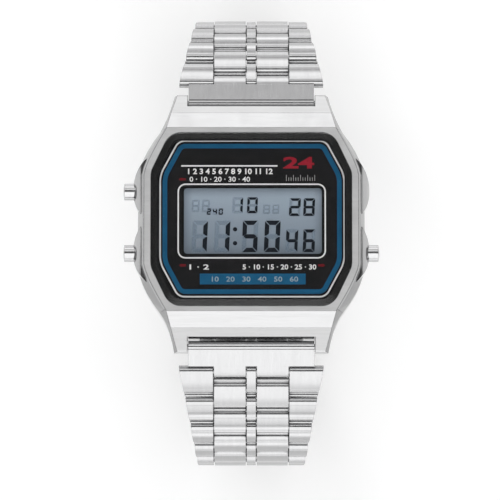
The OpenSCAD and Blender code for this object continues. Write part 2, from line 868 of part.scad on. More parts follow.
// The long arm, folded back under the short one
module clasp_long_arm() color(steel) difference() {
    union() {
        translate([-arm_x, tip_y + knuckle_r + running_gap, long_arm_z])
            cube([2 * arm_x, fold_y - tip_y - knuckle_r - running_gap, arm_thickness]);
        rod(-arm_x, arm_x, knuckle_r, fold_y, fold_z);
        for (x = [-arm_x, arm_x - arm_side])
            along_x(x, x + arm_side) {
                translate([tip_y, tip_z])
                    circle(r = knuckle_r, $fn = 64);
                polygon([[tip_y, tip_z - knuckle_r * 0.95], [tip_y + 3, long_arm_z],
                    [tip_y + 3, long_arm_z + arm_thickness], [tip_y, tip_z + knuckle_r * 0.5]]);
            }
    }
    rod(-arm_x - 1, arm_x + 1, r_pin + pin_play, fold_y, fold_z);
    rod(-arm_x - 1, arm_x + 1, r_pin + fit, tip_y, tip_z);
    arm_slot(-0.5, slot_r[0]);
}

// The short arm, which carries the far end of the bracelet
module clasp_short_arm() color(steel) difference() {
    union() {
        translate([-arm_x, tip_y + knuckle_r + running_gap + 0.4, short_arm_z])
            cube([2 * arm_x, clasp_y - 2.9 - tip_y - knuckle_r, arm_thickness]);
        along_x(arm_side + running_gap - arm_x, arm_x - arm_side - running_gap) {
            translate([tip_y, tip_z])
                circle(r = knuckle_r, $fn = 64);
            polygon([[tip_y, tip_z - knuckle_r * 0.2], [tip_y + 2, short_arm_z],
                [tip_y + 2, short_arm_z + arm_thickness], [tip_y, tip_z + knuckle_r]]);
        }
        knuckles(clasp_y, hinge_z, clasp_x, r_link, clasp_y - 2.4, short_arm_z, arm_thickness);
    }
    rod(-arm_x - 1, arm_x + 1, r_pin + pin_play, tip_y, tip_z);
    rod(-clasp_x - 1, clasp_x + 1, r_pin + fit, clasp_y, hinge_z);
    arm_slot(0.5, slot_r[1]);
}

// The spring bar at the open end, cut at the columns into what each side holds
module release_bar_ends() color(bright) {
    rod(-centre_width / 2, centre_width / 2, r_pin, clasp_y, hinge_z);
    for (s = [-1, 1])
        rod(s > 0 ? outer_from : pin_recess - clasp_x, s > 0 ? clasp_x - pin_recess : -outer_from,
            r_pin, clasp_y, hinge_z);
}

module release_bar_middle() color(bright)
    for (s = [-1, 1])
        rod(s > 0 ? inner_from : -inner_to, s > 0 ? inner_to : -inner_from, r_pin, clasp_y, hinge_z);

case_body();  // case
crystal();
crystal_gasket();
dial_plate();
lcd_glass();
lcd_reflector();
zebra_strips();
module_frame();
circuit_board();
quartz_crystal();
lamp();
button_contacts();
battery();
battery_clip();
buzzer_disc();
buzzer_spring();
back_gasket();
case_back();
case_back_screws();
spring_bars();
button_seals();
for (b = buttons) {
    button(b);
    clip(b);
    button_spring(b);
}
on_band(1, 0) end_link();  // end_link_12
on_band(-1, 0) end_link();  // end_link_6
for (k = [1 : links]) {
    on_band(1, k) link(k);
    on_band(-1, k) link(k);
}
clasp_cover();
clasp_long_arm();
clasp_short_arm();
clasp_spring_bar();
clasp_fold_pin();
clasp_tip_pin();
release_bar_ends();
release_bar_middle();
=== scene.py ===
import json
import math

import bmesh
import bpy
from mathutils import Matrix, Vector


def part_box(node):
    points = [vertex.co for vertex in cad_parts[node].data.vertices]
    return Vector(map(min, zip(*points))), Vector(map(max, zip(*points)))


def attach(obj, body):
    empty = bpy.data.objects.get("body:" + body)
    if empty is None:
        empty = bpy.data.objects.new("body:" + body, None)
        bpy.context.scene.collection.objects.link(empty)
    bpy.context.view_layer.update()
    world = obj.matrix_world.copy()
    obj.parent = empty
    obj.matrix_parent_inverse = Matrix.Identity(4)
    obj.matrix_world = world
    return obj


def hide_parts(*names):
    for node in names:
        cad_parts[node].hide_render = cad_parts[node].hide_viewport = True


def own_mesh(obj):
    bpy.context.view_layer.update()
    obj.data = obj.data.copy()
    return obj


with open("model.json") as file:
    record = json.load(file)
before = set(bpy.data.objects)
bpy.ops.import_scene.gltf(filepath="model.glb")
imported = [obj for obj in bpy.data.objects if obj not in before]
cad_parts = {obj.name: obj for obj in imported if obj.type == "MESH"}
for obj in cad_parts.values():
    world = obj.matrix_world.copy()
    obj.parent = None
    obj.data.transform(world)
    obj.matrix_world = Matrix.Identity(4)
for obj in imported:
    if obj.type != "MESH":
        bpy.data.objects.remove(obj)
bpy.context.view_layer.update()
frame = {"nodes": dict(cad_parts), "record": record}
scene = bpy.context.scene
mm = 0.001

# heights in mm that the scene's own pieces sit on or under
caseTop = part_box("case")[1].z / mm            # the bezel
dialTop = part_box("dial_plate")[1].z / mm
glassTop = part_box("crystal")[1].z / mm
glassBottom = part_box("crystal")[0].z / mm
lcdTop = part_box("lcd_glass")[1].z / mm
print("frame loaded, bezel at", round(caseTop, 2), "mm")


# Camera, as the photo has it: almost straight down, leaning toward 6 o'clock
cameraLook = {
    "distance": 800.0,        # mm from the glass
    "elevation": 82.5,
    "pixelsPerMm": 7.075,     # on the glass, in a frame of 500 pixels
    "glassAt": (251.3, 218.6),
    "sensor": 36.0,
    "frame": 500.0,
    "clip": (0.01, 20.0),     # metres
}


def addCamera(look):
    data = bpy.data.cameras.new("camera")
    cam = bpy.data.objects.new("camera", data)
    scene.collection.objects.link(cam)
    scene.camera = cam
    data.sensor_width = look["sensor"]
    data.lens = look["pixelsPerMm"] * look["sensor"] / look["frame"] * look["distance"]
    lean = math.radians(look["elevation"])
    back = Vector((0, -math.cos(lean), math.sin(lean)))
    up = Vector((0, math.sin(lean), math.cos(lean)))
    middle = look["frame"] / 2
    right = (look["glassAt"][0] - middle) / look["pixelsPerMm"]
    above = (middle - look["glassAt"][1]) / look["pixelsPerMm"]
    aim = Vector((-right, 0, glassTop)) - up * above
    cam.location = (aim + back * look["distance"]) * mm
    cam.rotation_mode = "QUATERNION"
    cam.rotation_quaternion = (-back).to_track_quat("-Z", "Y")
    data.clip_start, data.clip_end = look["clip"]
    data.dof.use_dof = False


addCamera(cameraLook)
scene.view_settings.view_transform = "Standard"


# Nodes

def socketNode(tree, kind, values=None, **settings):
    node = tree.nodes.new(kind)
    for name, value in settings.items():
        setattr(node, name, value)
    for key, value in (values or {}).items():
        node.inputs[key].default_value = value
    return node


def mathNode(tree, operation, a, b=None):
    node = socketNode(tree, "ShaderNodeMath", operation=operation)
    for index, value in enumerate((a, b)):
        if value is None:
            continue
        if isinstance(value, (int, float)):
            node.inputs[index].default_value = value
        else:
            tree.links.new(value, node.inputs[index])
    return node.outputs[0]


def mixColors(tree, factor, a, b):
    # the factor and each colour may be a socket, and a colour may also be plain
    node = socketNode(tree, "ShaderNodeMix", data_type="RGBA")
    for socket, value in ((node.inputs[0], factor), (node.inputs[6], a), (node.inputs[7], b)):
        if isinstance(value, tuple):
            socket.default_value = (*value, 1)
        else:
            tree.links.new(value, socket)
    return node.outputs[2]


def mapRange(tree, value, low, high, fromLow=0.0, fromHigh=1.0):
    node = socketNode(tree, "ShaderNodeMapRange", {1: fromLow, 2: fromHigh, 3: low, 4: high})
    tree.links.new(value, node.inputs[0])
    return node.outputs[0]


def ramp(tree, value, stops):
    node = tree.nodes.new("ShaderNodeValToRGB")
    elements = node.color_ramp.elements
    while len(elements) < len(stops):
        elements.new(1.0)
    for element, (position, level) in zip(elements, stops):
        element.position = position
        element.color = (level, level, level, 1)
    tree.links.new(value, node.inputs[0])
    return node.outputs[0]


def newGroup(name, inputs, outputs):
    tree = bpy.data.node_groups.new(name, "ShaderNodeTree")
    for socketName, kind, default in inputs:
        socket = tree.interface.new_socket(socketName, in_out="INPUT", socket_type=kind)
        if default is not None:
            socket.default_value = default
    for socketName, kind in outputs:
        tree.interface.new_socket(socketName, in_out="OUTPUT", socket_type=kind)
    return tree, tree.nodes.new("NodeGroupInput"), tree.nodes.new("NodeGroupOutput")


def placeGroup(tree, group, vector, values):
    node = socketNode(tree, "ShaderNodeGroup", node_tree=group)
    tree.links.new(vector, node.inputs["Vector"])
    for key, value in values.items():
        node.inputs[key].default_value = value
    return node


brush = {
    "fine": {"Detail": 4.0, "Roughness": 0.65}, "broad": {"Detail": 2.0, "Roughness": 0.5},
    "broadScale": 0.22, "fineShare": 0.65, "broadShare": 0.35, "tone": (0.33, 0.67),
}


def makeBrushLines(look):
    # fine lines from grinding: the vector is already stretched along them
    tree, given, result = newGroup(
        "brushLines",
        [("Vector", "NodeSocketVector", None), ("Fineness", "NodeSocketFloat", 1.0)],
        [("Tone", "NodeSocketFloat"), ("Height", "NodeSocketFloat")])
    fine = socketNode(tree, "ShaderNodeTexNoise", look["fine"])
    broad = socketNode(tree, "ShaderNodeTexNoise", look["broad"])
    tree.links.new(given.outputs["Vector"], fine.inputs["Vector"])
    tree.links.new(given.outputs["Vector"], broad.inputs["Vector"])
    tree.links.new(given.outputs["Fineness"], fine.inputs["Scale"])
    coarser = mathNode(tree, "MULTIPLY", given.outputs["Fineness"], look["broadScale"])
    tree.links.new(coarser, broad.inputs["Scale"])
    both = mathNode(tree, "ADD", mathNode(tree, "MULTIPLY", fine.outputs[0], look["fineShare"]),
                    mathNode(tree, "MULTIPLY", broad.outputs[0], look["broadShare"]))
    tree.links.new(mapRange(tree, both, 0.0, 1.0, *look["tone"]), result.inputs["Tone"])
    tree.links.new(both, result.inputs["Height"])
    return tree


touch = {
    "clouds": {"Detail": 5.0, "Roughness": 0.6, "Distortion": 0.4}, "cloudRange": (0.35, 0.65),
    "dotScale": 9.0, "dotRange": (0.05, 0.16),
}


def makeHandling(look):
    # cloudy traces of wiping and touch, with a few fine dots
    tree, given, result = newGroup(
        "handling",
        [("Vector", "NodeSocketVector", None), ("Scale", "NodeSocketFloat", 300.0)],
        [("Clouds", "NodeSocketFloat"), ("Dots", "NodeSocketFloat")])
    clouds = socketNode(tree, "ShaderNodeTexNoise", look["clouds"])
    dots = socketNode(tree, "ShaderNodeTexVoronoi", feature="F1")
    tree.links.new(given.outputs["Vector"], clouds.inputs["Vector"])
    tree.links.new(given.outputs["Vector"], dots.inputs["Vector"])
    tree.links.new(given.outputs["Scale"], clouds.inputs["Scale"])
    finer = mathNode(tree, "MULTIPLY", given.outputs["Scale"], look["dotScale"])
    tree.links.new(finer, dots.inputs["Scale"])
    tree.links.new(mapRange(tree, clouds.outputs[0], 0.0, 1.0, *look["cloudRange"]), result.inputs["Clouds"])
    spots = mapRange(tree, dots.outputs["Distance"], 1.0, 0.0, *look["dotRange"])
    tree.links.new(spots, result.inputs["Dots"])
    return tree


leanLimits = (0.04, 0.1)      # how far a face's lean may be off, and where the zone ends
flatLimits = (0.985, 0.998)   # the same for a flat top


def makeTiltZone():
    # 1 on faces that lean as far as asked and lie beyond a distance from the middle
    tree, given, result = newGroup(
        "tiltZone",
        [("Vector", "NodeSocketVector", None), ("Facing", "NodeSocketVector", None),
         ("Distance", "NodeSocketFloat", 0.0), ("Lean", "NodeSocketFloat", 0.64)],
        [("Mask", "NodeSocketFloat")])
    place, facing = tree.nodes.new("ShaderNodeSeparateXYZ"), tree.nodes.new("ShaderNodeSeparateXYZ")
    tree.links.new(given.outputs["Vector"], place.inputs[0])
    tree.links.new(given.outputs["Facing"], facing.inputs[0])
    along = mathNode(tree, "ABSOLUTE", place.outputs[1])
    out = mathNode(tree, "GREATER_THAN", along, given.outputs["Distance"])
    off = mathNode(tree, "ABSOLUTE", mathNode(tree, "SUBTRACT", facing.outputs[2], given.outputs["Lean"]))
    near = mapRange(tree, off, 1.0, 0.0, *leanLimits)
    tree.links.new(mathNode(tree, "MULTIPLY", out, near), result.inputs["Mask"])
    return tree


def makeTopZone():
    # 1 on flat tops at or above a height, 0 elsewhere
    tree, given, result = newGroup(
        "topZone",
        [("Vector", "NodeSocketVector", None), ("Facing", "NodeSocketVector", None),
         ("Height", "NodeSocketFloat", 0.0)],
        [("Mask", "NodeSocketFloat")])
    place, facing = tree.nodes.new("ShaderNodeSeparateXYZ"), tree.nodes.new("ShaderNodeSeparateXYZ")
    tree.links.new(given.outputs["Vector"], place.inputs[0])
    tree.links.new(given.outputs["Facing"], facing.inputs[0])
    high = mathNode(tree, "GREATER_THAN", place.outputs[2], given.outputs["Height"])
    flat = mapRange(tree, facing.outputs[2], 0.0, 1.0, *flatLimits)
    tree.links.new(mathNode(tree, "MULTIPLY", high, flat), result.inputs["Mask"])
    return tree


brushLines = makeBrushLines(brush)
handling = makeHandling(touch)
topZone = makeTopZone()
tiltZone = makeTiltZone()


def newMaterial(name):
    material = bpy.data.materials.new(name)
    material.use_nodes = True
    tree = material.node_tree
    shader = tree.nodes["Principled BSDF"]
    coords = tree.nodes.new("ShaderNodeTexCoord")
    return material, tree, shader, coords


def stretched(tree, coords, scale):
    node = socketNode(tree, "ShaderNodeMapping", {"Scale": scale})
    tree.links.new(coords.outputs["Object"], node.inputs["Vector"])
    return node.outputs[0]


bumpDepth = 0.01              # mm, as deep as a line or a grain is cut
grainDetail = 3.0             # of the grain in plastics and prints
dotColor = (0.3, 0.3, 0.3)    # fine specks on the steel
bezelDepth = 0.1              # mm below the bezel that still count as its top
# rays for the painted gap shade, the painted edge reflection and the rounded edges
raySamples = {"paintedGapShade": 8, "paintedEdgeReflection": 8, "edge": 4}


def steelMaterial(name, look):
    material, tree, shader, coords = newMaterial(name)
    lines = placeGroup(tree, brushLines, stretched(tree, coords, look["stretch"]),
                       {"Fineness": look["fineness"]})
    marks = placeGroup(tree, handling, coords.outputs["Object"], {"Scale": look["clouds"]})
    tone = mixColors(tree, lines.outputs["Tone"], look["dark"], look["light"])
    rough = mathNode(tree, "ADD", mapRange(tree, marks.outputs["Clouds"], *look["rough"]),
                     mathNode(tree, "MULTIPLY", lines.outputs["Tone"], look["lineRough"]))
    for area in look.get("areas", ()):      # painted light and shade by zone: lighter bezel top and lug slopes, darker flanks, each zone also rougher
        group, sizes = (tiltZone, ("Distance", "Lean")) if "Lean" in area else (topZone, ("Height",))
        zone = placeGroup(tree, group, coords.outputs["Object"], {size: area[size] for size in sizes})
        tree.links.new(coords.outputs["Normal"], zone.inputs["Facing"])
        paintedZoneTone = mixColors(tree, lines.outputs["Tone"], area["dark"], area["light"])
        tone = mixColors(tree, zone.outputs["Mask"], tone, paintedZoneTone)
        rougher = mathNode(tree, "MULTIPLY", zone.outputs["Mask"], area["rough"])
        rough = mathNode(tree, "ADD", rough, rougher)
    specks = mathNode(tree, "MULTIPLY", marks.outputs["Dots"], look["dots"])
    tone = mixColors(tree, specks, tone, dotColor)
    if "paintedGapShade" in look:               # painted shade: the base colour darkens toward near-black in gaps and crevices found by ambient occlusion
        paintedGapShade = look["paintedGapShade"]
        gaps = socketNode(tree, "ShaderNodeAmbientOcclusion", {"Distance": paintedGapShade["reach"] * mm},
                          samples=raySamples["paintedGapShade"], only_local=True)
        paintedShadeAmount = mapRange(tree, gaps.outputs["AO"], paintedGapShade["paintedShadeAmount"], 0.0, *paintedGapShade["from"])
        tone = mixColors(tree, paintedShadeAmount, tone, paintedGapShade["color"])
    if "paintedEdgeReflection" in look:            # painted reflection: a thin dark line in the base colour along sharp edges, for the dark room a polished edge mirrors
        line = look["paintedEdgeReflection"]
        turned = socketNode(tree, "ShaderNodeBevel", {"Radius": line["width"] * mm},
                            samples=raySamples["paintedEdgeReflection"])
        straight = tree.nodes.new("ShaderNodeNewGeometry")
        same = socketNode(tree, "ShaderNodeVectorMath", operation="DOT_PRODUCT")
        tree.links.new(turned.outputs[0], same.inputs[0])
        tree.links.new(straight.outputs["True Normal"], same.inputs[1])
        mask = mapRange(tree, same.outputs["Value"], line["depth"], 0.0, *line["turn"])
        tone = mixColors(tree, mask, tone, line["color"])
    tree.links.new(tone, shader.inputs["Base Color"])
    tree.links.new(rough, shader.inputs["Roughness"])
    shader.inputs["Metallic"].default_value = 1.0
    rounded = socketNode(tree, "ShaderNodeBevel", {"Radius": look["edge"] * mm},
                         samples=raySamples["edge"])
    bump = socketNode(tree, "ShaderNodeBump", {"Strength": look["bump"], "Distance": bumpDepth * mm})
    tree.links.new(lines.outputs["Height"], bump.inputs["Height"])
    tree.links.new(rounded.outputs[0], bump.inputs["Normal"])
    tree.links.new(bump.outputs[0], shader.inputs["Normal"])
    return material


def plainMaterial(name, look):
    # plastics, rubber, prints and coatings: two tones, grain and uneven gloss
    material, tree, shader, coords = newMaterial(name)
    marks = placeGroup(tree, handling, coords.outputs["Object"], {"Scale": look["clouds"]})
    grain = socketNode(tree, "ShaderNodeTexNoise", {"Scale": look["grain"], "Detail": grainDetail})
    tree.links.new(coords.outputs["Object"], grain.inputs["Vector"])
    tone = mixColors(tree, marks.outputs["Clouds"], look["dark"], look["light"])
    tree.links.new(tone, shader.inputs["Base Color"])
    tree.links.new(mapRange(tree, marks.outputs["Clouds"], *look["rough"]), shader.inputs["Roughness"])
    shader.inputs["Metallic"].default_value = look.get("metal", 0.0)
    shader.inputs["Specular IOR Level"].default_value = look.get("shine", 0.5)
    bump = socketNode(tree, "ShaderNodeBump", {"Strength": look["bump"], "Distance": bumpDepth * mm})
    tree.links.new(grain.outputs[0], bump.inputs["Height"])
    tree.links.new(bump.outputs[0], shader.inputs["Normal"])
    return material


steels = {
    "caseSteel": {"dark": (0.418, 0.418, 0.421), "light": (0.458, 0.458, 0.462), "rough": (0.06, 0.14),
                  "lineRough": 0.04, "stretch": (0.04, 1.0, 1.0), "fineness": 9000.0, "clouds": 260.0,
                  "dots": 0.05, "edge": 0.06, "bump": 0.05,
                  # painted reflection: thin dark line along the edges
                  "paintedEdgeReflection": {"width": 0.16, "depth": 0.9, "turn": (0.975, 0.998),
                               "color": (0.06, 0.06, 0.062)},
                  "areas": [
                      # painted light: the bezel top lighter, and a rougher satin finish
                      {"Height": (caseTop - bezelDepth) * mm, "dark": (0.5, 0.5, 0.502),
                       "light": (0.57, 0.57, 0.572), "rough": 0.28},
                      # painted light: the lug slopes lighter, and a rougher satin finish
                      {"Lean": 0.64, "Distance": 14.5 * mm, "dark": (0.47, 0.47, 0.472),
                       "light": (0.53, 0.53, 0.532), "rough": 0.2},
                      # painted reflection: the steep flanks darker, as if mirroring a dark room
                      {"Lean": 0.17, "Distance": 0.0, "dark": (0.14, 0.14, 0.142),
                       "light": (0.19, 0.19, 0.192), "rough": 0.06}]},
    "backSteel": {"dark": (0.35, 0.35, 0.354), "light": (0.438, 0.438, 0.442), "rough": (0.24, 0.34),
                  "lineRough": 0.1, "stretch": (0.05, 1.0, 1.0), "fineness": 9000.0, "clouds": 220.0,
                  "dots": 0.1, "edge": 0.06, "bump": 0.25},
    "brightSteel": {"dark": (0.409, 0.409, 0.416), "light": (0.474, 0.474, 0.482), "rough": (0.14, 0.22),
                    "lineRough": 0.05, "stretch": (0.3, 1.0, 1.0), "fineness": 9000.0, "clouds": 500.0,
                    "dots": 0.05, "edge": 0.03, "bump": 0.1,
                    # painted shade in the gaps
                    "paintedGapShade": {"reach": 0.9, "from": (0.25, 0.8), "paintedShadeAmount": 0.9, "color": (0.02, 0.02, 0.022)}},
    "springSteel": {"dark": (0.365, 0.365, 0.38), "light": (0.482, 0.482, 0.496), "rough": (0.25, 0.35),
                    "lineRough": 0.08, "stretch": (0.4, 1.0, 1.0), "fineness": 9000.0, "clouds": 500.0,
                    "dots": 0.1, "edge": 0.02, "bump": 0.1},
    "buttonSteel": {"dark": (0.438, 0.438, 0.442), "light": (0.496, 0.496, 0.5), "rough": (0.08, 0.16),
                    "lineRough": 0.04, "stretch": (0.2, 1.0, 1.0), "fineness": 8000.0, "clouds": 500.0,
                    "dots": 0.05, "edge": 0.12, "bump": 0.05},
    "linkSteel": {"dark": (0.41, 0.41, 0.414), "light": (0.452, 0.452, 0.456), "rough": (0.08, 0.16),
                  "lineRough": 0.05, "stretch": (1.0, 0.09, 0.09), "fineness": 8000.0, "clouds": 320.0,
                  "dots": 0.06, "edge": 0.08, "bump": 0.07,
                  # painted shade in the gaps between links
                  "paintedGapShade": {"reach": 0.9, "from": (0.25, 0.8), "paintedShadeAmount": 0.92, "color": (0.02, 0.02, 0.022)}},
    "claspSteel": {"dark": (0.365, 0.365, 0.369), "light": (0.453, 0.453, 0.456), "rough": (0.2, 0.32),
                   "lineRough": 0.1, "stretch": (1.0, 0.05, 1.0), "fineness": 8000.0, "clouds": 260.0,
                   "dots": 0.1, "edge": 0.08, "bump": 0.2},
}
plains = {
    "dialBlack": {"dark": (0.00592, 0.00592, 0.00666), "light": (0.00814, 0.00777, 0.00888),
                  "rough": (0.42, 0.5), "clouds": 400.0, "grain": 9000.0, "bump": 0.1, "shine": 0.08},
    "printWhite": {"dark": (0.76, 0.75, 0.75), "light": (0.84, 0.83, 0.83), "rough": (0.5, 0.6),
                   "clouds": 700.0, "grain": 14000.0, "bump": 0.15, "shine": 0.08},
    "printGrey": {"dark": (0.311, 0.303, 0.303), "light": (0.37, 0.363, 0.363), "rough": (0.5, 0.6),
                  "clouds": 700.0, "grain": 14000.0, "bump": 0.15, "shine": 0.08},
    "printBlue": {"dark": (0.0055, 0.086, 0.186), "light": (0.007, 0.102, 0.214), "rough": (0.4, 0.5),
                  "clouds": 500.0, "grain": 12000.0, "bump": 0.15, "shine": 0.08},
    "printPale": {"dark": (0.266, 0.348, 0.37), "light": (0.333, 0.414, 0.444), "rough": (0.5, 0.6),
                  "clouds": 700.0, "grain": 14000.0, "bump": 0.15, "shine": 0.08},
    "printRed": {"dark": (0.266, 0.00888, 0.0222), "light": (0.326, 0.0133, 0.0281), "rough": (0.45, 0.55),
                 "clouds": 700.0, "grain": 14000.0, "bump": 0.15, "shine": 0.08},
    "markRed": {"dark": (0.118, 0.00444, 0.00888), "light": (0.148, 0.00592, 0.0118), "rough": (0.45, 0.55),
                "clouds": 700.0, "grain": 14000.0, "bump": 0.15, "shine": 0.08},
    "liquidDark": {"dark": (0.00444, 0.00666, 0.0118), "light": (0.00666, 0.00962, 0.0163),
                   "rough": (0.4, 0.5), "clouds": 900.0, "grain": 14000.0, "bump": 0.05, "shine": 0.08},
    "reflector": {"dark": (0.55, 0.57, 0.58), "light": (0.66, 0.68, 0.69), "rough": (0.35, 0.45),
                  "clouds": 300.0, "grain": 9000.0, "bump": 0.4, "metal": 1.0},
    "zebra": {"dark": (0.12, 0.07, 0.07), "light": (0.24, 0.17, 0.16), "rough": (0.6, 0.7),
              "clouds": 1800.0, "grain": 9000.0, "bump": 0.3},
    "modulePlastic": {"dark": (0.58, 0.58, 0.54), "light": (0.7, 0.7, 0.66), "rough": (0.5, 0.6),
                      "clouds": 200.0, "grain": 5000.0, "bump": 0.3},
    "board": {"dark": (0.02, 0.09, 0.045), "light": (0.035, 0.14, 0.07), "rough": (0.3, 0.42),
              "clouds": 700.0, "grain": 3000.0, "bump": 0.3},
    "lamp": {"dark": (0.75, 0.7, 0.38), "light": (0.9, 0.85, 0.5), "rough": (0.2, 0.3),
             "clouds": 600.0, "grain": 6000.0, "bump": 0.1},
    "contact": {"dark": (0.62, 0.44, 0.17), "light": (0.75, 0.56, 0.26), "rough": (0.22, 0.32),
                "clouds": 600.0, "grain": 8000.0, "bump": 0.15, "metal": 1.0},
    "battery": {"dark": (0.6, 0.6, 0.6), "light": (0.72, 0.72, 0.72), "rough": (0.22, 0.32),
                "clouds": 180.0, "grain": 7000.0, "bump": 0.2, "metal": 1.0},
    "brass": {"dark": (0.6, 0.44, 0.17), "light": (0.74, 0.56, 0.26), "rough": (0.25, 0.35),
              "clouds": 260.0, "grain": 7000.0, "bump": 0.2, "metal": 1.0},
    "blackRubber": {"dark": (0.005, 0.005, 0.005), "light": (0.008, 0.008, 0.008), "rough": (0.55, 0.65),
                    "clouds": 500.0, "grain": 7000.0, "bump": 0.1, "shine": 0.06},
}
materials = {name: steelMaterial(name, look) for name, look in steels.items()}
materials.update((name, plainMaterial(name, look)) for name, look in plains.items())


# Display: grey cell with painted shade toward the window's edges and darker toward the bottom, and the glass
# over it
display = {
    # edge is the painted shade at the window's rim, lower the tone toward the bottom
    "middle": (0.315, 0.376, 0.45), "edge": (0.11, 0.135, 0.165), "lower": (0.16, 0.195, 0.24),
    "at": (0.22, -0.06), "half": (9.77, 4.69), "soft": 1.3, "spill": 0.25, "falloff": 0.5,
    "brightFrom": 0.6,        # share of the half height where the cell is at its brightest
    "sparkle": {"Scale": 9000.0, "Detail": 2.0}, "fleck": (0.45, 0.5, 0.54), "fleckShare": 0.16,
    "rough": (0.45, 0.55), "shine": 0.1,
}


def displayMaterial(look):
    material, tree, shader, coords = newMaterial("displayCell")
    place = tree.nodes.new("ShaderNodeSeparateXYZ")
    tree.links.new(coords.outputs["Object"], place.inputs[0])
    insets = []
    for axis in (0, 1):
        off = mathNode(tree, "SUBTRACT", place.outputs[axis], look["at"][axis] * mm)
        off = mathNode(tree, "ABSOLUTE", off)
        insets.append(mapRange(tree, off, 1.0, 0.0, (look["half"][axis] - look["soft"]) * mm,
                               (look["half"][axis] + look["spill"]) * mm))
    inside = mathNode(tree, "MULTIPLY", *[mathNode(tree, "POWER", i, look["falloff"]) for i in insets])
    # darker toward the bottom, up to the height where the cell is brightest
    fall = mapRange(tree, place.outputs[1], 0.0, 1.0, (look["at"][1] - look["half"][1]) * mm,
                    (look["at"][1] + look["half"][1] * look["brightFrom"]) * mm)
    body = mixColors(tree, fall, look["lower"], look["middle"])
    sparkle = socketNode(tree, "ShaderNodeTexNoise", look["sparkle"])
    tree.links.new(coords.outputs["Object"], sparkle.inputs["Vector"])
    flecks = mapRange(tree, sparkle.outputs[0], 0.0, look["fleckShare"])
    body = mixColors(tree, flecks, body, look["fleck"])
    # painted shade: the cell turns to the edge colour near the window's rim
    tree.links.new(mixColors(tree, inside, look["edge"], body), shader.inputs["Base Color"])
    tree.links.new(mapRange(tree, sparkle.outputs[0], *look["rough"]), shader.inputs["Roughness"])
    shader.inputs["Specular IOR Level"].default_value = look["shine"]
    return material


faintBars = {
    "clouds": 300.0, "dark": (0.07, 0.12, 0.18), "light": (0.08, 0.14, 0.2), "cover": (0.13, 0.17),
    "rough": 0.5,
}


def faintMaterial(look):
    # bars that are off still show as a faint blue grey
    material, tree, shader, coords = newMaterial("liquidFaint")
    marks = placeGroup(tree, handling, coords.outputs["Object"], {"Scale": look["clouds"]})
    tone = mixColors(tree, marks.outputs["Clouds"], look["dark"], look["light"])
    tree.links.new(tone, shader.inputs["Base Color"])
    tree.links.new(mapRange(tree, marks.outputs["Clouds"], *look["cover"]), shader.inputs["Alpha"])
    shader.inputs["Roughness"].default_value = look["rough"]
    return material


clearGlass = {
    "clouds": 140.0, "dark": (0.97, 0.985, 0.98), "light": (1.0, 1.0, 1.0), "rough": (0.0, 0.012),
    "bend": 1.38,
}


def glassMaterial(look):
    # clear mineral glass that lets the lamps through to the dial
    material, tree, shader, coords = newMaterial("mineralGlass")
    marks = placeGroup(tree, handling, coords.outputs["Object"], {"Scale": look["clouds"]})
    tree.links.new(mapRange(tree, marks.outputs["Clouds"], *look["rough"]), shader.inputs["Roughness"])
    tone = mixColors(tree, marks.outputs["Clouds"], look["dark"], look["light"])
    tree.links.new(tone, shader.inputs["Base Color"])
    shader.inputs["Transmission Weight"].default_value = 1.0
    shader.inputs["IOR"].default_value = look["bend"]
    rays = tree.nodes.new("ShaderNodeLightPath")
    clear = tree.nodes.new("ShaderNodeBsdfTransparent")
    mix = tree.nodes.new("ShaderNodeMixShader")
    tree.links.new(rays.outputs["Is Shadow Ray"], mix.inputs[0])
    tree.links.new(shader.outputs[0], mix.inputs[1])
    tree.links.new(clear.outputs[0], mix.inputs[2])
    tree.links.new(mix.outputs[0], tree.nodes["Material Output"].inputs["Surface"])
    return material


materials["displayCell"] = displayMaterial(display)
materials["liquidFaint"] = faintMaterial(faintBars)
materials["mineralGlass"] = glassMaterial(clearGlass)

slotLooks = {
    "case_steel": "caseSteel", "back_steel": "backSteel", "bright_steel": "brightSteel",
    "spring_steel": "springSteel", "button_steel": "buttonSteel", "link_steel": "linkSteel",
    "clasp_steel": "claspSteel", "glass": "mineralGlass", "dial": "dialBlack", "display": "displayCell",
    "reflector": "reflector", "zebra": "zebra", "module_plastic": "modulePlastic", "board": "board",
    "lamp": "lamp", "contact": "contact", "battery": "battery", "brass": "brass",
    "black_rubber": "blackRubber",
}


def finishNodes():
    for part in frame["record"]["subparts"]:
        node = frame["nodes"][part["node"]]
        look = materials[slotLooks[part["material_slot"]]]
        if node.data.materials:
            for index in range(len(node.data.materials)):
                node.data.materials[index] = look
        else:
            node.data.materials.append(look)


finishNodes()
print("materials made:", len(materials))


# Shapes

def keepPiece(name, bm, body, look):
    bmesh.ops.recalc_face_normals(bm, faces=bm.faces)
    mesh = bpy.data.meshes.new(name)
    bm.to_mesh(mesh)
    bm.free()
    piece = bpy.data.objects.new(name, mesh)
    scene.collection.objects.link(piece)
    mesh.materials.append(materials[look])
    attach(piece, body)
    return piece


def raiseFaces(bm, faces, height):
    grown = bmesh.ops.extrude_face_region(bm, geom=faces)
    tops = [v for v in grown["geom"] if isinstance(v, bmesh.types.BMVert)]
    bmesh.ops.translate(bm, verts=tops, vec=(0, 0, height * mm))


def addFlat(bm, points, low, height):
    corners = [bm.verts.new((x * mm, y * mm, low * mm)) for x, y in points]
    raiseFaces(bm, [bm.faces.new(corners)], height)


def octagonCorners(half, cut, at=(0, 0)):
    x, y = half
    quarter = [(x, y - cut[1]), (x - cut[0], y)]
    corners = quarter + [(-px, py) for px, py in reversed(quarter)]
    corners += [(-px, -py) for px, py in quarter] + [(px, -py) for px, py in reversed(quarter)]
    return [(px + at[0], py + at[1]) for px, py in corners]


def boxCorners(half, at):
    signs = ((1, -1), (1, 1), (-1, 1), (-1, -1))
    return [(at[0] + sx * half[0], at[1] + sy * half[1]) for sx, sy in signs]


bluntCorner = math.radians(135)       # a wider opening counts as blunt
cornerSegments = 8


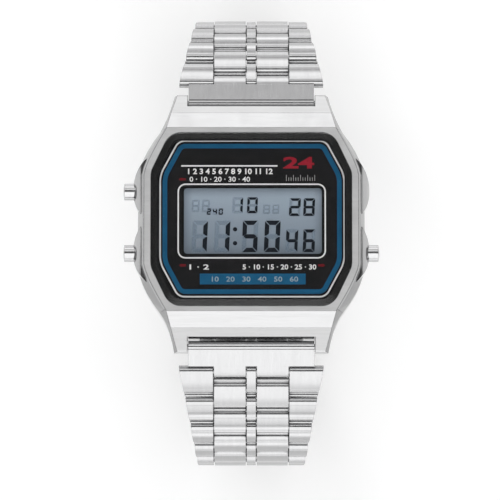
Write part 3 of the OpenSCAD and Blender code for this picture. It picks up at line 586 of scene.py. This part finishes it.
def addRing(bm, corners, rounding, width, low, height):
    # rounding is one radius, or a pair for the sharper and the blunter corners
    known = set(bm.faces)
    start = [bm.verts.new((x * mm, y * mm, low * mm)) for x, y in corners]
    bm.faces.new(start)
    for corner in start:
        sides = [edge.other_vert(corner).co - corner.co for edge in corner.link_edges]
        opening = sides[0].angle(sides[1])
        radius = rounding[opening > bluntCorner] if isinstance(rounding, tuple) else rounding
        reach = radius / math.tan(opening / 2)
        bmesh.ops.bevel(bm, geom=[corner], offset=reach * mm, offset_type="OFFSET", affect="VERTICES",
                        segments=cornerSegments, profile=0.5, material=-1)
    face = max((f for f in bm.faces if f not in known), key=lambda f: f.calc_area())
    ring = bmesh.ops.inset_region(bm, faces=[face], thickness=width * mm, use_even_offset=True,
                                  use_boundary=True)["faces"]
    bmesh.ops.delete(bm, geom=[face], context="FACES_ONLY")
    raiseFaces(bm, ring, height)


def addText(bm, words, box, weight, low, height):
    # plain figures from Blender's own font, one unit thick and then fitted to a box
    curve = bpy.data.curves.new("figures", "FONT")
    curve.body = words
    curve.size = 1.0
    curve.offset = weight
    curve.extrude = 0.5
    curve.resolution_u = 3
    holder = bpy.data.objects.new("figures", curve)
    scene.collection.objects.link(holder)
    bpy.context.view_layer.update()
    made = bpy.data.meshes.new_from_object(holder.evaluated_get(bpy.context.evaluated_depsgraph_get()))
    bpy.data.objects.remove(holder)
    bpy.data.curves.remove(curve)
    xs, ys = [v.co.x for v in made.vertices], [v.co.y for v in made.vertices]
    x0, x1, y0, y1 = box
    scaleX = (x1 - x0) / (max(xs) - min(xs))
    scaleY = (y1 - y0) / (max(ys) - min(ys))
    fit = (Matrix.Translation(Vector((x0, y0, low + height / 2)) * mm)
           @ Matrix.Diagonal((scaleX * mm, scaleY * mm, height * mm, 1))
           @ Matrix.Translation((-min(xs), -min(ys), 0)))
    made.transform(fit)
    bm.from_mesh(made)
    bpy.data.meshes.remove(made)


# Dial print
dial = {
    "at": (0.12, 0.2),
    "lift": 0.004,            # the print's underside over the plate
    "thick": 0.03,
    "outline": {"half": (13.15, 11.25), "cut": (2.66, 4.95), "round": (1.5, 3.8), "width": 0.23},
    "band": {"half": (12.68, 10.72), "cut": (2.45, 4.56), "round": (1.2, 3.4), "width": 0.65},
    "frame": {"half": (10.51, 5.36), "at": (-0.06, -0.33), "round": 1.15, "width": 0.2},
    "rule": {"from": -10.05, "to": 3.58, "y": 7.56, "width": 0.2},
    "plate": {"half": (7.48, 0.77), "at": (0.08, -8.61)},
    "whiteFigures": [
        {"text": "1 2 3 4 5 6 7 8 9 10 11 12", "box": (-9.09, 2.92, 6.35, 7.19), "weight": 0.03},
        {"text": "0 · 10 · 20 · 30 · 40", "box": (-8.87, -0.3, 5.29, 6.01), "weight": 0.015},
        {"text": "1 · 2", "box": (-8.87, -6.11, -7.26, -6.52), "weight": 0.02},
        {"text": "5 · 10 · 15 · 20 · 25 · 30", "box": (-1.35, 9.07, -7.26, -6.52), "weight": 0.02},
    ],
    "paleFigures": {"text": "10   20   30   40   50   60", "box": (-5.7, 6.5, -8.98, -8.26),
                    "weight": 0.01, "thick": 0.01},
    "redNumber": {"text": "24", "box": (4.4, 8.8, 7.19, 8.85), "weight": 0.03},
    "ruler": {"from": 4.85, "step": 0.335, "marks": 13, "y": 5.42, "half": 0.045,
              "long": 0.42, "short": 0.24, "every": 3},
    "arrows": [(-9.9, 5.64, -1), (-9.85, -6.65, -1), (9.83, -6.65, 1)],     # x, y, where it points
    "arrowShape": [(-0.5, -0.14), (0.25, -0.2), (0.5, 0.0), (0.25, 0.2), (-0.5, 0.14)],
}


def dialPrint(look):
    ax, ay = look["at"]
    low = dialTop + look["lift"]
    thick = look["thick"]

    def addFigures(bm, row, low, thick):
        x0, x1, y0, y1 = row["box"]
        addText(bm, row["text"], (x0 + ax, x1 + ax, y0 + ay, y1 + ay), row["weight"], low, thick)

    white = bmesh.new()
    outline = look["outline"]
    addRing(white, octagonCorners(outline["half"], outline["cut"], look["at"]), outline["round"],
            outline["width"], low, thick)
    edge = look["frame"]
    addRing(white, boxCorners(edge["half"], (edge["at"][0] + ax, edge["at"][1] + ay)), edge["round"],
            edge["width"], low, thick)
    rule = look["rule"]
    addFlat(white, boxCorners(((rule["to"] - rule["from"]) / 2, rule["width"] / 2),
                              ((rule["to"] + rule["from"]) / 2 + ax, rule["y"] + ay)), low, thick)
    for row in look["whiteFigures"]:
        addFigures(white, row, low, thick)
    keepPiece("dial_white_print", white, "case", "printWhite")

    grey = bmesh.new()
    ruler = look["ruler"]
    for step in range(ruler["marks"]):
        x = ruler["from"] + step * ruler["step"] + ax
        tall = ruler["short"] if step % ruler["every"] else ruler["long"]
        addFlat(grey, boxCorners((ruler["half"], tall), (x, ruler["y"] + tall + ay)), low, thick)
    keepPiece("dial_grey_print", grey, "case", "printGrey")

    blue = bmesh.new()
    band = look["band"]
    addRing(blue, octagonCorners(band["half"], band["cut"], look["at"]), band["round"],
            band["width"], low, thick)
    plate = look["plate"]
    addFlat(blue, boxCorners(plate["half"], (plate["at"][0] + ax, plate["at"][1] + ay)), low, thick)
    keepPiece("dial_blue_print", blue, "case", "printBlue")

    pale = bmesh.new()
    addFigures(pale, look["paleFigures"], low + thick, look["paleFigures"]["thick"])
    keepPiece("dial_pale_print", pale, "case", "printPale")

    red = bmesh.new()
    addFigures(red, look["redNumber"], low, thick)
    keepPiece("dial_red_number", red, "case", "printRed")

    marks = bmesh.new()
    for x, y, side in look["arrows"]:
        points = [(x + ax + side * px, y + ay + py) for px, py in look["arrowShape"]]
        addFlat(marks, points if side > 0 else points[::-1], low, thick)
    keepPiece("dial_red_marks", marks, "case", "markRed")


dialPrint(dial)
print("dial print made")


# Figures of the display: bars a to g of a seven-bar digit
digitBars = {
    "0": "abcdef", "1": "bc", "2": "abged", "3": "abgcd", "4": "fgbc", "5": "afgcd",
    "6": "afgedc", "7": "abc", "8": "abcdefg", "9": "abcdfg", " ": "",
}
figures = {
    "at": (0.12, 0.27),
    "lean": 0.045,
    "gap": 0.14,              # share of the stroke
    "lit": {"lift": 0.02, "thick": 0.012},
    "faint": {"lift": 0.008, "thick": 0.006},
    "rows": [
        {"text": "11", "at": (-8.62, -4.78), "size": (2.17, 4.5), "pitch": 3.17, "stroke": 0.62},
        {"text": "50", "at": (-1.5, -4.78), "size": (2.2, 4.5), "pitch": 3.14, "stroke": 0.62},
        {"text": "46", "at": (4.72, -4.78), "size": (1.68, 3.25), "pitch": 2.42, "stroke": 0.46},
        {"text": "28", "at": (5.2, 0.38), "size": (1.6, 2.54), "pitch": 2.02, "stroke": 0.38},
        {"text": "10", "at": (-2.85, 0.78), "size": (1.48, 2.28), "pitch": 2.1, "stroke": 0.36},
        {"text": "240", "at": (-6.45, 0.56), "size": (0.62, 0.9), "pitch": 0.84, "stroke": 0.2},
        {"text": "  ", "at": (-8.6, 0.95), "size": (1.1, 1.75), "pitch": 1.45, "stroke": 0.26},
        {"text": "  ", "at": (1.55, 0.7), "size": (0.95, 1.3), "pitch": 1.3, "stroke": 0.2},
    ],
    "colon": {"x": -2.42, "ys": (-1.52, -3.51), "r": 0.31, "segments": 24},
}
barEnds = {"inset": 0.4, "nose": 0.1, "shoulder": 0.85, "notch": 0.35}    # shares of gap and stroke


def barPoints(bar, width, height, stroke, gap):
    # each bar's outline, slanted at its ends where it meets its neighbours
    half = height / 2
    s, g = stroke, gap
    inset, nose = g * barEnds["inset"], s * barEnds["nose"]
    shoulder, notch = s * barEnds["shoulder"], s * barEnds["notch"]
    shapes = {
        "a": [(g, height), (width - g, height), (width - s - inset, height - s), (s + inset, height - s)],
        "d": [(s + inset, s), (width - s - inset, s), (width - g, 0), (g, 0)],
        "g": [(g + nose, half), (shoulder, half + s / 2), (width - shoulder, half + s / 2),
              (width - g - nose, half), (width - shoulder, half - s / 2), (shoulder, half - s / 2)],
        "f": [(0, half + g), (0, height - g), (s, height - s - g), (s, half + s / 2 + g), (notch, half + g)],
        "e": [(0, g), (0, half - g), (notch, half - g), (s, half - s / 2 - g), (s, s + g)],
    }
    mirror = {"b": "f", "c": "e"}
    if bar in mirror:
        return [(width - x, y) for x, y in shapes[mirror[bar]]][::-1]
    return shapes[bar]


def displayFigures(look):
    ax, ay = look["at"]
    lit, faint = bmesh.new(), bmesh.new()
    for row in look["rows"]:
        for place, digit in enumerate(row["text"]):
            for bar in "abcdefg":
                on = bar in digitBars[digit]
                layer = look["lit"] if on else look["faint"]
                x0 = row["at"][0] + place * row["pitch"] + ax
                y0 = row["at"][1] + ay
                shape = barPoints(bar, *row["size"], row["stroke"], look["gap"] * row["stroke"])
                points = [(x0 + x + look["lean"] * y, y0 + y) for x, y in shape]
                addFlat(lit if on else faint, points, lcdTop + layer["lift"], layer["thick"])
    colon, layer = look["colon"], look["lit"]
    for y in colon["ys"]:
        made = bmesh.ops.create_circle(lit, cap_ends=True, segments=colon["segments"],
                                       radius=colon["r"] * mm)
        place = Vector((colon["x"] + ax, y + ay, lcdTop + layer["lift"]))
        bmesh.ops.translate(lit, verts=made["verts"], vec=place * mm)
        dot = [f for f in lit.faces if all(v in made["verts"] for v in f.verts)]
        raiseFaces(lit, dot, layer["thick"])
    keepPiece("display_figures", lit, "case", "liquidDark")
    keepPiece("display_faint_bars", faint, "case", "liquidFaint")


displayFigures(figures)
print("display made")


# Black mask on the display's edge, and the black flange between glass and dial
mask = {
    "at": (0.22, -0.06), "half": (10.6, 5.52), "round": 1.3, "width": 0.83, "lift": 0.005, "thick": 0.02,
}
flange = {
    "glass": (14.2, 12.35), "cut": (2.7, 5.6), "round": 2.6,
    "lip": {"inset": 0.81, "width": 0.18, "thick": 0.16},
    "wall": {"inset": 0.92, "width": 0.07},
    "ledge": 0.2,             # room under the glass
    "lift": 0.01,             # both rings over what carries them
}


def insetOctagon(look, inset):
    # the octagon that lies so far inside the glass's outline
    x, y = look["cut"]
    length = math.hypot(x, y)
    less = inset * (x + y - length)
    half = [side - inset for side in look["glass"]]
    return octagonCorners(half, (x - less / y, y - less / x))


def displayMask(look):
    bm = bmesh.new()
    addRing(bm, boxCorners(look["half"], look["at"]), look["round"], look["width"],
            lcdTop + look["lift"], look["thick"])
    keepPiece("display_mask", bm, "case", "dialBlack")


def dialFlange(look):
    bm = bmesh.new()
    ledge = glassBottom - look["ledge"]
    lip, wall = look["lip"], look["wall"]
    addRing(bm, insetOctagon(look, lip["inset"]), look["round"] - lip["inset"], lip["width"],
            ledge + look["lift"], lip["thick"])
    addRing(bm, insetOctagon(look, wall["inset"]), look["round"] - wall["inset"], wall["width"],
            dialTop + look["lift"], ledge - dialTop)
    keepPiece("dial_flange", bm, "case", "dialBlack")


displayMask(mask)
dialFlange(flange)


# Return springs: coils that stand in for each button's spring; on the watch they close up as the button is
# pressed
coil = {"wire": 0.16, "turns": 3, "steps": 28, "sides": 10, "pressed": 0.35}


def returnSpring(button, look):
    low, high = [Vector(corner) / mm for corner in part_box(button + "_spring")]
    middle = (low + high) / 2
    radius = (high.z - low.z - look["wire"]) / 2
    rise = high.x - low.x - look["wire"]
    steps = look["turns"] * look["steps"]
    bm = bmesh.new()
    wire = bmesh.ops.create_circle(bm, cap_ends=True, segments=look["sides"], radius=look["wire"] / 2 * mm)
    bmesh.ops.rotate(bm, verts=wire["verts"], matrix=Matrix.Rotation(math.pi / 2, 3, "X"))
    start = Vector((low.x + look["wire"] / 2, middle.y, middle.z + radius))
    bmesh.ops.translate(bm, verts=wire["verts"], vec=start * mm)
    bmesh.ops.spin(bm, geom=bm.verts[:] + bm.edges[:] + bm.faces[:], cent=middle * mm, axis=(1, 0, 0),
                   dvec=(rise / steps * mm, 0, 0), angle=math.tau * look["turns"], steps=steps)
    for face in bm.faces:
        face.smooth = len(face.verts) == 4
    piece = keepPiece(button + "_return_spring", bm, "case", "springSteel")
    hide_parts(button + "_spring")
    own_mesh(piece)


for button in ("light", "mode", "start"):
    returnSpring(button, coil)
print("springs made")


# Floor, world and lamps
stage = {
    "floorSize": 6.0,
    "floorColor": (0.86, 0.86, 0.86),
    "fibre": {"Scale": 900.0, "Detail": 4.0}, "fibreColor": (0.8, 0.8, 0.8), "fibreShare": 0.04,
    "floorRough": 0.9,
    "floorShine": 0.1,
    "floorLift": 0.22,
    "strips": {"glow": 1.1, "start": (0.08, 0.13), "end": (0.17, 0.25), "side": (0.2, 0.4)},
    "worldLevel": 2.02,
    "cards6": [(0.0, 0.7), (0.25, 0.85), (0.42, 0.97), (0.84, 1.0), (0.92, 1.0), (1.0, 1.0)],
    "cards12": [(0.0, 0.4), (0.1, 0.45), (0.3, 1.0), (0.5, 1.0), (0.56, 0.46), (0.82, 0.46),
                (0.9, 1.0), (1.0, 1.0)],
    "walls": [(0.0, 0.08), (0.16, 0.08), (0.34, 0.35), (0.5, 0.35), (0.7, 0.16), (0.87, 0.16),
              (0.93, 1.0), (1.0, 1.0)],
    "cardTurn": (-0.12, 0.12),
    "wallStart": (0.15, 0.5),
    "lensToward": (0, 0.122, 0.9925),     # the part of the room that the dark lens takes up
    "lensShade": 0.05,
    "lensEdge": (0.962, 0.976),
    "lamps": [
        {"name": "keyLamp", "at": (-0.8, 0.6, 0.6), "size": 0.6, "watts": 1.5},
        {"name": "fillLamp", "at": (0.8, -0.6, 0.55), "size": 0.5, "watts": 0.7},
    ],
    "lampAim": (0, 0, 0.03),
}


def addFloor(look):
    bm = bmesh.new()
    bmesh.ops.create_grid(bm, x_segments=1, y_segments=1, size=look["floorSize"] / 2)
    mesh = bpy.data.meshes.new("floor")
    bm.to_mesh(mesh)
    bm.free()
    floor = bpy.data.objects.new("floor", mesh)
    scene.collection.objects.link(floor)
    material, tree, shader, coords = newMaterial("floorPaper")
    fibre = socketNode(tree, "ShaderNodeTexNoise", look["fibre"])
    tree.links.new(coords.outputs["Object"], fibre.inputs["Vector"])
    spread = mapRange(tree, fibre.outputs[0], 0.0, look["fibreShare"])
    tone = mixColors(tree, spread, look["floorColor"], look["fibreColor"])
    tree.links.new(tone, shader.inputs["Base Color"])
    shader.inputs["Roughness"].default_value = look["floorRough"]
    shader.inputs["Specular IOR Level"].default_value = look["floorShine"]
    rays = tree.nodes.new("ShaderNodeLightPath")
    seen = mathNode(tree, "MAXIMUM", rays.outputs["Is Camera Ray"], rays.outputs["Is Glossy Ray"])
    seen = mathNode(tree, "MAXIMUM", seen, rays.outputs["Is Transmission Ray"])
    shader.inputs["Emission Color"].default_value = (1, 1, 1, 1)
    # light strips on the table, beyond the picture, that the steel mirrors
    strips = look["strips"]
    place = tree.nodes.new("ShaderNodeSeparateXYZ")
    tree.links.new(coords.outputs["Object"], place.inputs[0])
    across, along = [mathNode(tree, "ABSOLUTE", place.outputs[axis]) for axis in (0, 1)]
    glow = mathNode(tree, "MULTIPLY", mapRange(tree, along, 0.0, 1.0, *strips["start"]),
                    mapRange(tree, along, 1.0, 0.0, *strips["end"]))
    sides = mapRange(tree, across, strips["glow"], 0.0, *strips["side"])
    glow = mathNode(tree, "MULTIPLY", glow, sides)
    lift = mathNode(tree, "ADD", glow, look["floorLift"])
    tree.links.new(mathNode(tree, "MULTIPLY", seen, lift), shader.inputs["Emission Strength"])
    mesh.materials.append(material)


def addWorld(look):
    # a studio with wide pale cards toward 12 and 6 o'clock and grey walls at the sides
    world = bpy.data.worlds.new("studio")
    scene.world = world
    world.use_nodes = True
    tree = world.node_tree
    background = tree.nodes["Background"]
    background.inputs["Color"].default_value = (1, 1, 1, 1)
    coords = tree.nodes.new("ShaderNodeTexCoord")
    place = tree.nodes.new("ShaderNodeSeparateXYZ")
    tree.links.new(coords.outputs["Generated"], place.inputs[0])
    across, along, height = place.outputs
    cards = mixColors(tree, mapRange(tree, along, 0.0, 1.0, *look["cardTurn"]),
                      ramp(tree, height, look["cards6"]), ramp(tree, height, look["cards12"]))
    walls = ramp(tree, height, look["walls"])
    sideways = mapRange(tree, mathNode(tree, "ABSOLUTE", across), 0.0, 1.0, *look["wallStart"])
    room = mixColors(tree, sideways, cards, walls)
    toward = socketNode(tree, "ShaderNodeVectorMath", {1: look["lensToward"]}, operation="DOT_PRODUCT")
    tree.links.new(coords.outputs["Generated"], toward.inputs[0])
    lens = mapRange(tree, toward.outputs["Value"], 1.0, look["lensShade"], *look["lensEdge"])
    level = mathNode(tree, "MULTIPLY", room, lens)
    tree.links.new(mathNode(tree, "MULTIPLY", level, look["worldLevel"]), background.inputs["Strength"])


def addLamps(look):
    for lamp in look["lamps"]:
        data = bpy.data.lights.new(lamp["name"], "AREA")
        data.shape = "DISK"
        data.size = lamp["size"]
        data.energy = lamp["watts"]
        holder = bpy.data.objects.new(lamp["name"], data)
        scene.collection.objects.link(holder)
        holder.location = lamp["at"]
        aim = Vector(look["lampAim"]) - holder.location
        holder.rotation_euler = aim.to_track_quat("-Z", "Y").to_euler()


addFloor(stage)
addWorld(stage)
addLamps(stage)
print("stage made")

bpy.context.view_layer.update()
